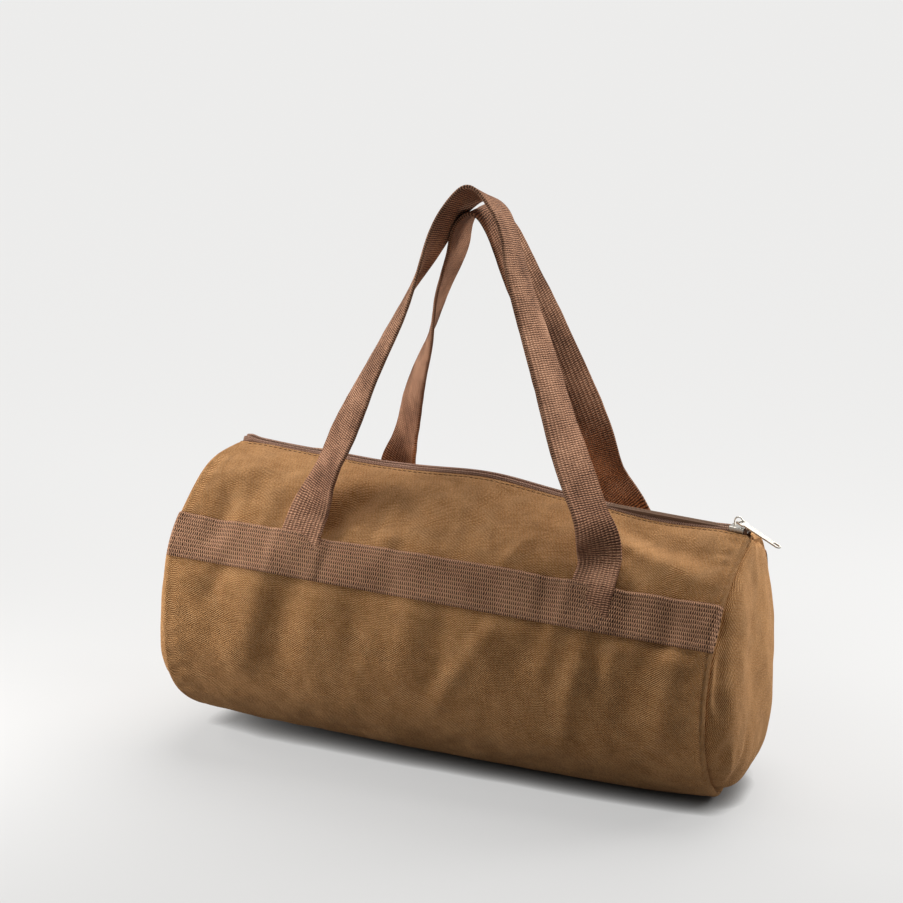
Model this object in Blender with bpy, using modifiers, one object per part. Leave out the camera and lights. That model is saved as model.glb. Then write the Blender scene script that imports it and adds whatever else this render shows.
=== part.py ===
"""Barrel-shaped canvas tool bag: a wrapped canvas panel with a zip along the top,
puffed round end panels, two webbing bands and two webbing handles.

Metres, +Z up. X runs along the zip, -Y is the front. The origin is the middle of the flat bottom.
On the shell an angle of 0 is the front and a quarter turn is the top,
and a share of 0 is the left end seam and 1 the right one.
"""

import math

import bpy
import numpy as np

MM = 0.001
QUARTER = math.pi / 2

# Canvas shell
BAG_LENGTH = 360 * MM
LEFT_HALF_DEPTH = 93.8 * MM
RIGHT_HALF_DEPTH = 78.9 * MM
LEFT_HALF_HEIGHT = 91.0 * MM
RIGHT_HALF_HEIGHT = 82.7 * MM
LEFT_RIDGE = 13.5 * MM
RIGHT_RIDGE = 12.2 * MM
RIDGE_REACH = math.radians(51.6)
SHOULDER_FULLNESS = 0.205
BOTTOM_SAG = 2.0 * MM
LEFT_RISE = 5.0 * MM
LEFT_RISE_REACH = 0.42
LEFT_SEAM_SWELL = 4.5 * MM
LEFT_SEAM_SKEW = 0.105
RIGHT_SEAM_SKEW = -0.128
LEFT_SEAM_RAKE = 0.0376
RIGHT_SEAM_RAKE = 0.0704
CANVAS_THICKNESS = 1.5 * MM
SEAM_TUCK = 2.4 * MM
SEAM_TUCK_REACH = 9 * MM
CLEARANCE = 0.3 * MM

# Zip opening in the shell and its folded edges
OPENING_HALF_WIDTH = 7 * MM
HEM_WIDTH = 8 * MM
HEM_THICKNESS = 2.4 * MM

# End panels and the bound seam allowances inside them
LEFT_PUFF = 15.6 * MM
RIGHT_PUFF = 17.3 * MM
PUFF_SAG = 0.3
DOME_GATHER = 1.5
BINDING_DEPTH = 9 * MM
BINDING_THICKNESS = 3 * MM
BINDING_EASE = 2.4 * MM

# Webbing
STRAP_WIDTH = 30 * MM
STRAP_THICKNESS = 1.8 * MM
BAND_THICKNESS = 1.8 * MM
BAND_TOP = math.radians(48.2)
BAND_EASE = 10 * MM
FRONT_FOOT_X = 98.2 * MM
REAR_FOOT_X = 88.0 * MM
FOOT_SHOWS = 6 * MM
FOOT_STOPS_SHORT = 4 * MM

# Handles: the middle of each strap at its highest point
FRONT_TOP_X = -2.7 * MM
FRONT_TOP_Y = -5.5 * MM
FRONT_TOP_Z = 379.7 * MM
REAR_TOP_X = -5.7 * MM
REAR_TOP_Y = 8.8 * MM
REAR_TOP_Z = 364.0 * MM
FRONT_TOP_TILT = math.radians(24)
REAR_TOP_TILT = math.radians(0)
TILT_FROM = 0.75
HANDLE_SPREAD = 55 * MM
HANDLE_ROOT = 5 * MM

# Zip
TAPE_HALF_WIDTH = 13 * MM
TAPE_THICKNESS = 0.8 * MM
TAPE_DROP = 0.5 * MM
TOOTH_PITCH = 3.0 * MM
TEETH_HALF_WIDTH = 2.9 * MM
TEETH_SPINE = 1.9 * MM
TEETH_THICKNESS = 2.0 * MM
STOP_LENGTH = 1.8 * MM
STOP_OVERHANG = 0.5 * MM
ZIP_LEFT_INSET = 4.2 * MM
ZIP_RIGHT_INSET = 2.9 * MM

# Slider and its pull
SLIDER_LENGTH = 10 * MM
SLIDER_WALL = 1.0 * MM
SLIDER_ROOF = 1.2 * MM
SLIDER_SHOULDER = 0.6 * MM
SLIDER_EDGE = 0.35 * MM
BAIL_RADIUS = 2.6 * MM
BAIL_WIRE_RADIUS = 0.55 * MM
BAIL_LIFT = 3.2 * MM
PULL_LENGTH = 38 * MM
PULL_HEAD_WIDTH = 6.2 * MM
PULL_HEAD_LENGTH = 5.2 * MM
PULL_WIDTH = 3.8 * MM
PULL_THICKNESS = 1.0 * MM
PULL_RIM = 0.9 * MM
PULL_PLAY = 0.45 * MM
PULL_SLOT_LENGTH = 5.5 * MM
PULL_YAW = math.radians(-26)
PULL_DROOP = math.radians(10.5)

# Facets
SHELL_STEPS_ROUND = 18
SHELL_STEPS_LONG = 7
DOME_STEPS = 7
BAND_STEPS = 16
BAND_ROWS = 4
HANDLE_STEPS = 64
ARC_STEPS = 8
SEAM_STATIONS = (0, 0.3, 0.65)
PAST_SEAM_STATION = 1.1
SEARCH_TURN = math.radians(60)
SEARCH_STEPS = 121
PROBE_STEP = 0.002
BESIDE_RIDGE = 0.01
GUIDE_SIZE = 20 * MM

# Handle keys from the left foot to the right one: the way across from the top (0) to the left
# foot (1) or the right foot (-1), the height between feet (0) and top (1),
# and the turn of the strap's width about the vertical, in degrees
FRONT_KEYS = (
    (0.927, 0.121, -38), (0.814, 0.261, -47), (0.658, 0.440, -60), (0.444, 0.656, -73),
    (0.300, 0.803, -88), (0.188, 0.908, -94), (0.083, 0.977, -94), (0.0, 1.0, -94),
    (-0.105, 0.979, -94), (-0.216, 0.918, -88), (-0.309, 0.817, -88), (-0.537, 0.577, -96),
    (-0.727, 0.372, -104), (-0.892, 0.188, -115), (-0.968, 0.100, -130),
)
REAR_KEYS = (
    (0.975, 0.125, -38), (0.828, 0.270, -53), (0.701, 0.405, -64), (0.538, 0.552, -75),
    (0.362, 0.722, -82), (0.165, 0.872, -90), (0.092, 0.965, -90), (0.0, 1.0, -91),
    (-0.093, 0.958, -96), (-0.204, 0.850, -109), (-0.306, 0.737, -116), (-0.517, 0.465, -133),
    (-0.601, 0.355, -141), (-0.715, 0.228, -153), (-0.860, 0.100, -168),
)


def mixed(left, right, share):
    return left * (1 - share) + right * share


def unit(vector):
    return vector / np.linalg.norm(vector)


def clear_scene():
    for item in list(bpy.data.objects):
        bpy.data.objects.remove(item, do_unlink=True)


def new_collection(name):
    made = bpy.data.collections.new(name)
    bpy.context.scene.collection.children.link(made)
    return made


def new_material(name, colour, roughness, metallic=0.0):
    made = bpy.data.materials.new(name)
    made.use_nodes = True
    surface = made.node_tree.nodes["Principled BSDF"]
    surface.inputs["Base Color"].default_value = (*colour, 1)
    surface.inputs["Roughness"].default_value = roughness
    surface.inputs["Metallic"].default_value = metallic
    made.diffuse_color = (*colour, 1)
    return made


# The shell as a surface

def shell_point(angle, share):
    """Point on the canvas's outer face, before the end seams draw it in."""
    half_depth = mixed(LEFT_HALF_DEPTH, RIGHT_HALF_DEPTH, share)
    half_height = mixed(LEFT_HALF_HEIGHT, RIGHT_HALF_HEIGHT, share)
    rise = math.sin(angle)
    y = -half_depth * math.cos(angle) * (1 + SHOULDER_FULLNESS * max(rise, 0) ** 3)
    reach = half_height if rise > 0 else half_height + BOTTOM_SAG
    z = max(half_height + reach * rise, 0)
    near_top = 1 - min(abs(angle - QUARTER) / RIDGE_REACH, 1)
    z += mixed(LEFT_RIDGE, RIGHT_RIDGE, share) * near_top**2
    z += LEFT_RISE * max(1 - share / LEFT_RISE_REACH, 0) ** 2 * max(-rise, 0)
    left = LEFT_SEAM_SKEW * y + LEFT_SEAM_RAKE * (z - half_height) - BAG_LENGTH / 2
    left -= LEFT_SEAM_SWELL * math.sin(2 * angle) ** 2
    right = RIGHT_SEAM_SKEW * y + RIGHT_SEAM_RAKE * (z - half_height) + BAG_LENGTH / 2
    return np.array((mixed(left, right, share), y, z))


def shell_round(angle, share):
    """Direction round the shell, from the front up over the top."""
    return unit(shell_point(angle + PROBE_STEP, share) - shell_point(angle - PROBE_STEP, share))


def shell_normal(angle, share):
    """Outward normal of the canvas."""
    along = shell_point(angle, share + PROBE_STEP) - shell_point(angle, share - PROBE_STEP)
    return unit(np.cross(along, shell_round(angle, share)))


def on_shell(angle, share, lift=0.0):
    """Point at a height over the canvas, with the end seams drawn in."""
    from_seam = min(share, 1 - share) * BAG_LENGTH
    tuck = SEAM_TUCK * max(1 - from_seam / SEAM_TUCK_REACH, 0) ** 2
    return shell_point(angle, share) + shell_normal(angle, share) * (lift - tuck)


def angle_at(start, distance, share):
    """Angle at a distance round the section from a start, positive towards the rear."""
    turns = np.linspace(0, math.copysign(SEARCH_TURN, distance), SEARCH_STEPS)
    points = np.array([shell_point(start + turn, share) for turn in turns])
    steps = np.linalg.norm(np.diff(points, axis=0), axis=1)
    passed = np.concatenate(((0,), np.cumsum(steps)))
    return start + float(np.interp(abs(distance), passed, turns))


def share_at(x, angle):
    """Share of the length at which the shell reaches a given X."""
    left = shell_point(angle, 0)[0]
    right = shell_point(angle, 1)[0]
    return (x - left) / (right - left)


def to_rear(angle):
    """The angle that mirrors one on the front."""
    return 2 * QUARTER - angle


def flat_half_angle(share):
    """Half the angle that the flat bottom takes."""
    half_height = mixed(LEFT_HALF_HEIGHT, RIGHT_HALF_HEIGHT, share)
    return math.acos(half_height / (half_height + BOTTOM_SAG))


def rear_angles(share):
    """Angles of the rear half, from the zip opening's edge to the edge of the flat bottom."""
    edge = angle_at(QUARTER, OPENING_HALF_WIDTH, share)
    fold = angle_at(QUARTER, OPENING_HALF_WIDTH + HEM_WIDTH, share)
    past_fold = angle_at(QUARTER, OPENING_HALF_WIDTH + HEM_WIDTH + HEM_THICKNESS, share)
    flat = 3 * QUARTER - flat_half_angle(share)
    return [edge, fold] + list(np.linspace(past_fold, flat, SHELL_STEPS_ROUND))


def open_angles(share):
    """Angles of the wrapped panel, from the opening's rear edge under the bag to its front edge."""
    rear = rear_angles(share)
    return rear + [3 * QUARTER] + [to_rear(angle) for angle in reversed(rear)]


def ring_angles(share):
    """Angles all the way round, for the end panels."""
    return open_angles(share) + [QUARTER]


# Sheets

def sheet(name, rows, thickness, side, material, home, ring=False, capped=False):
    """Grid of points made into a sheet; ring joins each row's ends, capped closes the last row."""
    count = len(rows[0])
    faces = [
        (row * count + col, (row + 1) * count + col,
         (row + 1) * count + (col + 1) % count, row * count + (col + 1) % count)
        for row in range(len(rows) - 1)
        for col in range(count if ring else count - 1)
    ]
    if capped:
        faces.append(tuple((len(rows) - 1) * count + col for col in reversed(range(count))))
    mesh = bpy.data.meshes.new(name)
    mesh.from_pydata([tuple(point) for row in rows for point in row], [], faces)
    mesh.shade_smooth()
    made = bpy.data.objects.new(name, mesh)
    mesh.materials.append(material)
    home.objects.link(made)
    cloth = made.modifiers.new("Cloth", "SOLIDIFY")
    cloth.thickness = thickness
    cloth.offset = side
    cloth.use_even_offset = True
    return made


def long_shares(steps=SHELL_STEPS_LONG):
    """Stations along the bag, closer together where the seams draw it in."""
    first = CLEARANCE / 2 / BAG_LENGTH
    reach = SEAM_TUCK_REACH / BAG_LENGTH
    left = [first + reach * part for part in SEAM_STATIONS]
    left += list(np.linspace(first + reach * PAST_SEAM_STATION, 0.5, steps))
    return left + [1 - share for share in reversed(left[:-1])]


def canvas_panel(home, material):
    """Wrapped panel, open along the top, with its edges by the zip folded double."""
    rows = [[on_shell(angle, share) for angle in open_angles(share)] for share in long_shares()]
    made = sheet("canvas_body", rows, HEM_THICKNESS, -1, material, home)
    folds = made.vertex_groups.new(name="Folds")
    count = len(rows[0])
    for index in range(len(rows) * count):
        from_edge = min(index % count, count - 1 - index % count)
        folds.add([index], 1 if from_edge < 2 else CANVAS_THICKNESS / HEM_THICKNESS, "REPLACE")
    made.modifiers["Cloth"].vertex_group = "Folds"
    return made


def end_panel(name, share, puff, home, material):
    """Puffed panel from the seam outwards; a negative puff faces left."""
    ring = np.array([on_shell(angle, share) for angle in ring_angles(share)])
    ring[:, 0] += math.copysign(CLEARANCE / 2, puff)
    middle = (ring.max(axis=0) + ring.min(axis=0)) / 2
    low = 1 - PUFF_SAG * (ring[:, 2] - middle[2]) / middle[2]
    rows = []
    for turn in QUARTER * np.linspace(0, 1, DOME_STEPS + 2)[:-1] ** DOME_GATHER:
        row = middle + (ring - middle) * math.cos(turn)
        row[:, 0] += puff * math.sin(turn) * mixed(1, low, math.cos(turn))
        rows.append(row if puff > 0 else row[::-1])
    return sheet(name, rows, CANVAS_THICKNESS, -1, material, home, ring=True, capped=True)


def seam_binding(name, share, home, material):
    """Bound seam allowance that stands inwards all round the seam."""
    rows = []
    for depth in (0, BINDING_DEPTH):
        row = []
        for angle in ring_angles(share):
            by_zip = abs(angle - QUARTER) < abs(rear_angles(share)[2] - QUARTER)
            wall = HEM_THICKNESS if by_zip else CANVAS_THICKNESS
            row.append(on_shell(angle, share, -wall - BINDING_EASE - depth))
        rows.append(row)
    return sheet(name, rows, BINDING_THICKNESS, 0, material, home, ring=True)


def foot_places(mirror):
    """X of a handle's left and right foot."""
    x = REAR_FOOT_X if mirror else FRONT_FOOT_X
    return -x, x


def foot_rise(x, foot_x):
    """How far a foot under the band lifts it at this X, from 0 to 1."""
    past = max(abs(x - foot_x) - STRAP_WIDTH / 2 - CLEARANCE, 0) / BAND_EASE
    return (1 + math.cos(math.pi * min(past, 1))) / 2


def side_band(name, mirror, home, material):
    """Band along the shell, raised where it covers the handle's feet."""
    rows = []
    feet = foot_places(mirror)
    edges = [foot + side for foot in feet for side in (-STRAP_WIDTH / 2, STRAP_WIDTH / 2)]
    for share in sorted(long_shares(BAND_STEPS) + [share_at(x, BAND_TOP) for x in edges]):
        x = shell_point(BAND_TOP, share)[0]
        raised = max(foot_rise(x, foot) for foot in feet)
        lift = CLEARANCE + raised * (STRAP_THICKNESS + CLEARANCE)
        low = angle_at(BAND_TOP, -STRAP_WIDTH, share)
        angles = np.linspace(low, BAND_TOP, BAND_ROWS)
        if mirror:
            angles = [to_rear(angle) for angle in reversed(angles)]
        rows.append([on_shell(angle, share, lift) for angle in angles])
    return sheet(name, rows, BAND_THICKNESS, 1, material, home)


def foot_end_angle():
    """Angle at which the sewn feet stop and the moving handles start."""
    return angle_at(BAND_TOP, FOOT_SHOWS, 0.5)


def handle_foot(name, x, mirror, home, material):
    """End of a handle, sewn flat on the canvas under the band."""
    rows = []
    for side in np.linspace(-STRAP_WIDTH / 2, STRAP_WIDTH / 2, 3):
        share = share_at(x + side, BAND_TOP)
        low = angle_at(BAND_TOP, FOOT_STOPS_SHORT - STRAP_WIDTH, share)
        angles = list(np.linspace(low, BAND_TOP, BAND_ROWS)) + [foot_end_angle()]
        if mirror:
            angles = [to_rear(angle) for angle in reversed(angles)]
        rows.append([on_shell(angle, share, CLEARANCE) for angle in angles])
    return sheet(name, rows, STRAP_THICKNESS, 1, material, home)


# Handles

def foot_end(x, mirror):
    """Middle of the outer edge at a foot's end, and the outward normal there."""
    angle = foot_end_angle()
    share = share_at(x, angle)
    if mirror:
        angle = to_rear(angle)
    return on_shell(angle, share, CLEARANCE + STRAP_THICKNESS), shell_normal(angle, share)


def crease_way(mirror):
    """Direction of the crease line through a handle's two feet, towards +X."""
    left, right = [foot_end(x, mirror)[0] for x in foot_places(mirror)]
    return unit(right - left)


def handle_root(x, mirror):
    """Crease where a handle leaves its foot, the way up from it and the outward normal."""
    edge, normal = foot_end(x, mirror)
    upward = unit(np.cross(normal, crease_way(mirror))) * (-1 if mirror else 1)
    return edge + upward * CLEARANCE / 2, upward, normal


def spline(keys, values, at):
    """Smooth natural curve through values at keys, read at other places."""
    count = len(keys)
    gaps = np.diff(keys)
    slopes = np.diff(values, axis=0) / gaps[:, None]
    system = np.eye(count)
    known = np.zeros_like(values)
    for row in range(1, count - 1):
        system[row, row - 1:row + 2] = gaps[row - 1], 2 * (gaps[row - 1] + gaps[row]), gaps[row]
        known[row] = 6 * (slopes[row] - slopes[row - 1])
    bends = np.linalg.solve(system, known)
    spans = np.clip(np.searchsorted(keys, at) - 1, 0, count - 2)
    far = (at - keys[spans])[:, None]
    gap = gaps[spans][:, None]
    near_bend = bends[spans]
    far_bend = bends[spans + 1]
    slope = slopes[spans] - gap * (2 * near_bend + far_bend) / 6
    return values[spans] + far * (slope + far * (near_bend / 2 + far * (far_bend - near_bend) / 6 / gap))


def handle_stations(top, keys, mirror):
    """Middle line and width turn of a handle, one row of x, y, z and turn a station."""
    rear = -1 if mirror else 1
    half = STRAP_THICKNESS / 2
    left_x, right_x = foot_places(mirror)
    stations = []
    for x, turn in ((left_x, 0), (right_x, -math.pi)):
        crease, upward, normal = handle_root(x, mirror)
        start = crease + upward * CLEARANCE / 2 - normal * half
        stations.append([(*(start + upward * step), turn) for step in (0, HANDLE_ROOT)])
    foot_z = handle_root(left_x, mirror)[0][2]
    middle = []
    for across, height, turn in keys:
        x = mixed(top[0], left_x if across > 0 else right_x, abs(across))
        y = mixed(-rear * HANDLE_SPREAD, top[1], height)
        middle.append((x, y, mixed(foot_z, top[2], height), math.radians(turn)))
    return np.array(stations[0] + middle + stations[1][::-1])


def handle(name, top, tilt, keys, mirror, home, material):
    """Webbing handle as one twisting ribbon between its two creases."""
    stations = handle_stations(top, keys, mirror)
    lengths = np.linalg.norm(np.diff(stations[:, :3], axis=0), axis=1)
    passed = np.concatenate(((0,), np.cumsum(lengths)))
    between = np.linspace(HANDLE_ROOT, passed[-1] - HANDLE_ROOT, HANDLE_STEPS)
    places = np.concatenate(((0,), between, passed[-1:]))
    line = spline(passed, stations, places)
    ways = np.gradient(line[:, :3], places, axis=0)
    ways[0] = line[1, :3] - line[0, :3]
    ways[-1] = line[-1, :3] - line[-2, :3]
    low = stations[0, 2]
    along = crease_way(mirror)
    rows = []
    for (x, y, z, turn), way in zip(line, ways):
        near_top = max((z - low) / (top[2] - low) - TILT_FROM, 0) / (1 - TILT_FROM)
        lean = tilt * near_top**2
        across = along * math.cos(turn) * math.cos(lean)
        across += np.array((0, math.sin(turn) * math.cos(lean), math.sin(lean)))
        way = unit(way)
        across = unit(across - way * (across @ way)) * STRAP_WIDTH / 2
        rows.append([np.array((x, y, z)) + across * side for side in (-1, 0, 1)])
    return sheet(name, rows, STRAP_THICKNESS, 0, material, home)


# Guides that pieces hang on

def guide(name, place, turn, home, parent=None):
    made = bpy.data.objects.new(name, None)
    made.empty_display_size = GUIDE_SIZE
    made.location = place
    made.rotation_euler = turn
    made.parent = parent
    home.objects.link(made)
    return made


def hang(piece, parent, place=(0, 0, 0)):
    piece.parent = parent
    piece.location = place


def shift_origin(piece, place):
    """Puts a piece's origin at a place without moving its surface."""
    for vertex in piece.data.vertices:
        vertex.co -= place
    piece.location = place


# Zip

def zip_ends():
    """The ridge line at the two end seams."""
    return shell_point(QUARTER, 0), shell_point(QUARTER, 1)


def zip_frame(home):
    """Guide at the left end of the ridge line, with X running down it."""
    left, right = zip_ends()
    fall = math.atan2(left[2] - right[2], right[0] - left[0])
    return guide("zip_line", tuple(left), (0, fall, 0), home)


def zip_length():
    left, right = zip_ends()
    return float(np.linalg.norm(right - left))


def teeth_bottom():
    return -HEM_THICKNESS


def teeth_span():
    """Where the chain of teeth starts and ends along the ridge line."""
    start = ZIP_LEFT_INSET + STOP_LENGTH + CLEARANCE
    return start, zip_length() - ZIP_RIGHT_INSET - STOP_LENGTH - CLEARANCE


def zip_tape(name, mirror, home, material):
    """Tape from under the folded edge to the middle of the zip."""
    inset = (BINDING_THICKNESS / 2 + CLEARANCE) / BAG_LENGTH
    rows = []
    depth = HEM_THICKNESS + TAPE_DROP
    for share in [inset] + long_shares()[1:-1] + [1 - inset]:
        lean = abs(shell_normal(QUARTER + BESIDE_RIDGE, share)[1])
        middle = CLEARANCE / 2 + lean * (depth + TAPE_THICKNESS + SEAM_TUCK)
        places = (TAPE_HALF_WIDTH, (TAPE_HALF_WIDTH + OPENING_HALF_WIDTH) / 2, OPENING_HALF_WIDTH,
                  (OPENING_HALF_WIDTH + middle) / 2, middle)
        angles = [to_rear(angle_at(QUARTER, place, share)) for place in places]
        if mirror:
            angles = [to_rear(angle) for angle in reversed(angles)]
        rows.append([on_shell(angle, share, -depth) for angle in angles])
    return sheet(name, rows, TAPE_THICKNESS, -1, material, home)


def flat_outline(name, loops, thickness, material, home):
    """Flat plate from closed outlines in X and Y, the inner ones being holes."""
    curve = bpy.data.curves.new(name, "CURVE")
    curve.dimensions = "2D"
    curve.fill_mode = "BOTH"
    curve.extrude = thickness / 2
    for loop in loops:
        line = curve.splines.new("POLY")
        line.points.add(len(loop) - 1)
        line.use_cyclic_u = True
        for point, (x, y) in zip(line.points, loop):
            point.co = (x, y, 0, 1)
    curve.materials.append(material)
    made = bpy.data.objects.new(name, curve)
    home.objects.link(made)
    return made


def teeth_outline(first_tooth, side):
    """Comb of teeth on a spine, on the front (-1) or rear (1) of the middle line."""
    start, end = teeth_span()
    outer = side * TEETH_HALF_WIDTH
    root = side * (TEETH_HALF_WIDTH - TEETH_SPINE)
    tip = -root + side * CLEARANCE
    half = TOOTH_PITCH / 4 - CLEARANCE / 2
    points = [(start, root)]
    middle = start + first_tooth
    while middle + half < end:
        points += [(middle - half, root), (middle - half, tip)]
        points += [(middle + half, tip), (middle + half, root)]
        middle += TOOTH_PITCH
    return points + [(end, root), (end, outer), (start, outer)]


def zip_teeth(name, side, first_tooth, frame, home, material):
    made = flat_outline(name, [teeth_outline(first_tooth, side)], TEETH_THICKNESS, material, home)
    hang(made, frame, (0, 0, teeth_bottom() + TEETH_THICKNESS / 2))
    return made


def block(name, size, material, home):
    """Box about its own middle, made from a cube."""
    bpy.ops.mesh.primitive_cube_add(size=1)
    made = bpy.context.object
    made.name = name
    made.data.name = name
    for vertex in made.data.vertices:
        vertex.co = [part * whole for part, whole in zip(vertex.co, size)]
    if material:
        made.data.materials.append(material)
    for group in list(made.users_collection):
        group.objects.unlink(made)
    home.objects.link(made)
    return made


def soften(piece, width):
    edges = piece.modifiers.new("Edges", "BEVEL")
    edges.width = width
    edges.segments = 2
    edges.limit_method = "ANGLE"


def zip_stop(name, start, frame, home, material):
    """Metal stop clamped over the end of the chain."""
    width = 2 * (TEETH_HALF_WIDTH + STOP_OVERHANG)
    made = block(name, (STOP_LENGTH, width, TEETH_THICKNESS), material, home)
    hang(made, frame, (start + STOP_LENGTH / 2, 0, teeth_bottom() + TEETH_THICKNESS / 2))
    soften(made, SLIDER_EDGE)
    return made


# Slider, bail and pull

def slider_place():
    """Middle of the closed slider along the ridge line, against the top stop."""
    return teeth_span()[1] - SLIDER_LENGTH / 2


def slider_top():
    return teeth_bottom() + TEETH_THICKNESS + CLEARANCE + SLIDER_ROOF


def slider_body(frame, home, cutters, material):
    """Cover over the chain with a wall down each side, wider at the shoulders."""
    inner = 2 * (TEETH_HALF_WIDTH + CLEARANCE)
    height = TEETH_THICKNESS + CLEARANCE + SLIDER_ROOF
    made = block("slider_body", (SLIDER_LENGTH, inner + 2 * SLIDER_WALL, height), material, home)
    for vertex in made.data.vertices:
        if vertex.co.x > 0:
            vertex.co.y += math.copysign(SLIDER_SHOULDER, vertex.co.y)
    hang(made, frame, (0, 0, teeth_bottom() + height / 2))
    deep = height - SLIDER_ROOF
    channel = block("slider_channel", (2 * SLIDER_LENGTH, inner, 2 * deep), None, cutters)
    channel.hide_render = True
    channel.display_type = "WIRE"
    hang(channel, frame, (0, 0, teeth_bottom()))
    cut = made.modifiers.new("Channel", "BOOLEAN")
    cut.object = channel
    soften(made, SLIDER_EDGE)
    return made


def slider_bail(frame, home, material):
    """Wire arch over the slider, standing on its roof."""
    leg = BAIL_LIFT - CLEARANCE
    turns = np.linspace(0, math.pi, ARC_STEPS + 1)
    points = [(BAIL_RADIUS, 0, -leg)]
    points += [(BAIL_RADIUS * math.cos(turn), 0, BAIL_RADIUS * math.sin(turn)) for turn in turns]
    points.append((-BAIL_RADIUS, 0, -leg))
    curve = bpy.data.curves.new("slider_bail", "CURVE")
    curve.dimensions = "3D"
    curve.bevel_depth = BAIL_WIRE_RADIUS
    curve.bevel_resolution = 2
    curve.use_fill_caps = True
    line = curve.splines.new("POLY")
    line.points.add(len(points) - 1)
    for point, place in zip(line.points, points):
        point.co = (*place, 1)
    curve.materials.append(material)
    made = bpy.data.objects.new("slider_bail", curve)
    home.objects.link(made)
    hang(made, frame, (0, 0, slider_top() + BAIL_LIFT))
    return made


def arc(x, y, radius, start, end):
    """Points of an arc about a middle, in X and Y."""
    turns = np.linspace(start, end, ARC_STEPS + 1)
    return [(x + radius * math.cos(turn), y + radius * math.sin(turn)) for turn in turns]


def pull_tab(hinge, home, material):
    """Long flat pull with a slot round the bail and a slot near its end."""
    gap = BAIL_WIRE_RADIUS + PULL_PLAY
    inner = BAIL_RADIUS - gap - PULL_RIM
    head = PULL_HEAD_WIDTH / 2
    half = PULL_WIDTH / 2
    outline = [(inner, -head), (inner + PULL_HEAD_LENGTH, -head)]
    outline += [(inner + PULL_HEAD_LENGTH + head - half, -half)]
    outline += arc(PULL_LENGTH - half, 0, half, -QUARTER, QUARTER)
    outline += [(inner + PULL_HEAD_LENGTH + head - half, half)]
    outline += [(inner + PULL_HEAD_LENGTH, head), (inner, head)]
    wide = head - PULL_RIM
    near = BAIL_RADIUS - gap
    far = BAIL_RADIUS + gap
    bail_slot = [(near, -wide), (far, -wide), (far, wide), (near, wide)]
    slot = half - PULL_RIM
    far_end = PULL_LENGTH - PULL_RIM - slot
    end_slot = arc(far_end, 0, slot, -QUARTER, QUARTER)
    end_slot += arc(far_end - PULL_SLOT_LENGTH + 2 * slot, 0, slot, QUARTER, 3 * QUARTER)
    made = flat_outline("pull_tab", [outline, bail_slot, end_slot], PULL_THICKNESS, material, home)
    hang(made, hinge)
    return made


def build_shell(home, canvas, binding):
    canvas_panel(home, canvas)
    end_panel("end_panel_left", 0, -LEFT_PUFF, home, canvas)
    end_panel("end_panel_right", 1, RIGHT_PUFF, home, canvas)
    seam_binding("seam_binding_left", 0, home, binding)
    seam_binding("seam_binding_right", 1, home, binding)


def build_webbing(home, webbing):
    front_top = (FRONT_TOP_X, FRONT_TOP_Y, FRONT_TOP_Z)
    rear_top = (REAR_TOP_X, REAR_TOP_Y, REAR_TOP_Z)
    for side, mirror, top, tilt, keys in (
        ("front", False, front_top, FRONT_TOP_TILT, FRONT_KEYS),
        ("rear", True, rear_top, REAR_TOP_TILT, REAR_KEYS),
    ):
        side_band(f"band_{side}", mirror, home, webbing)
        left_x, right_x = foot_places(mirror)
        handle_foot(f"handle_{side}_foot_left", left_x, mirror, home, webbing)
        handle_foot(f"handle_{side}_foot_right", right_x, mirror, home, webbing)
        strap = handle(f"handle_{side}", top, tilt, keys, mirror, home, webbing)
        middle = (handle_root(left_x, mirror)[0] + handle_root(right_x, mirror)[0]) / 2
        crease = guide(f"handle_{side}_crease", tuple(middle), (0, 0, 0), home)
        shift_origin(strap, crease.location)
        hang(strap, crease)


def build_zip(home, cutters, tape, teeth, metal):
    frame = zip_frame(home)
    start, end = teeth_span()
    zip_tape("zip_tape_front", False, home, tape)
    zip_tape("zip_tape_rear", True, home, tape)
    zip_teeth("zip_teeth_front", -1, TOOTH_PITCH / 4, frame, home, teeth)
    zip_teeth("zip_teeth_rear", 1, TOOTH_PITCH * 3 / 4, frame, home, teeth)
    zip_stop("zip_bottom_stop", start - CLEARANCE - STOP_LENGTH, frame, home, metal)
    zip_stop("zip_top_stop", end + CLEARANCE, frame, home, metal)
    travel = guide("slider_travel", (slider_place(), 0, 0), (0, 0, 0), home, frame)
    slider_body(travel, home, cutters, metal)
    slider_bail(travel, home, metal)
    height = slider_top() + BAIL_LIFT
    hinge = guide("pull_hinge", (0, 0, height), (0, PULL_DROOP, PULL_YAW), home, travel)
    pull_tab(hinge, home, metal)


def build():
    clear_scene()
    home = new_collection("tool_bag")
    cutters = new_collection("cutters")
    canvas = new_material("canvas", (0.21, 0.12, 0.065), 0.95)
    binding = new_material("binding", (0.17, 0.10, 0.06), 0.95)
    webbing = new_material("webbing", (0.30, 0.17, 0.10), 0.9)
    tape = new_material("zip_tape", (0.22, 0.13, 0.09), 0.9)
    teeth = new_material("zip_teeth", (0.16, 0.10, 0.07), 0.5)
    metal = new_material("nickel", (0.62, 0.60, 0.58), 0.3, 1.0)
    build_shell(home, canvas, binding)
    build_webbing(home, webbing)
    build_zip(home, cutters, tape, teeth, metal)
    bpy.context.view_layer.update()


build()
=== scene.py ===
"""Looks of the canvas tool bag: cloth, webbing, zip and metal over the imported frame.

Metres, +Z up, X along the zip, -Y the front. On the shell an angle of 0 is the front,
a quarter turn is the top, and a share of 0 is the left end seam and 1 the right one.
"""

import math

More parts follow.
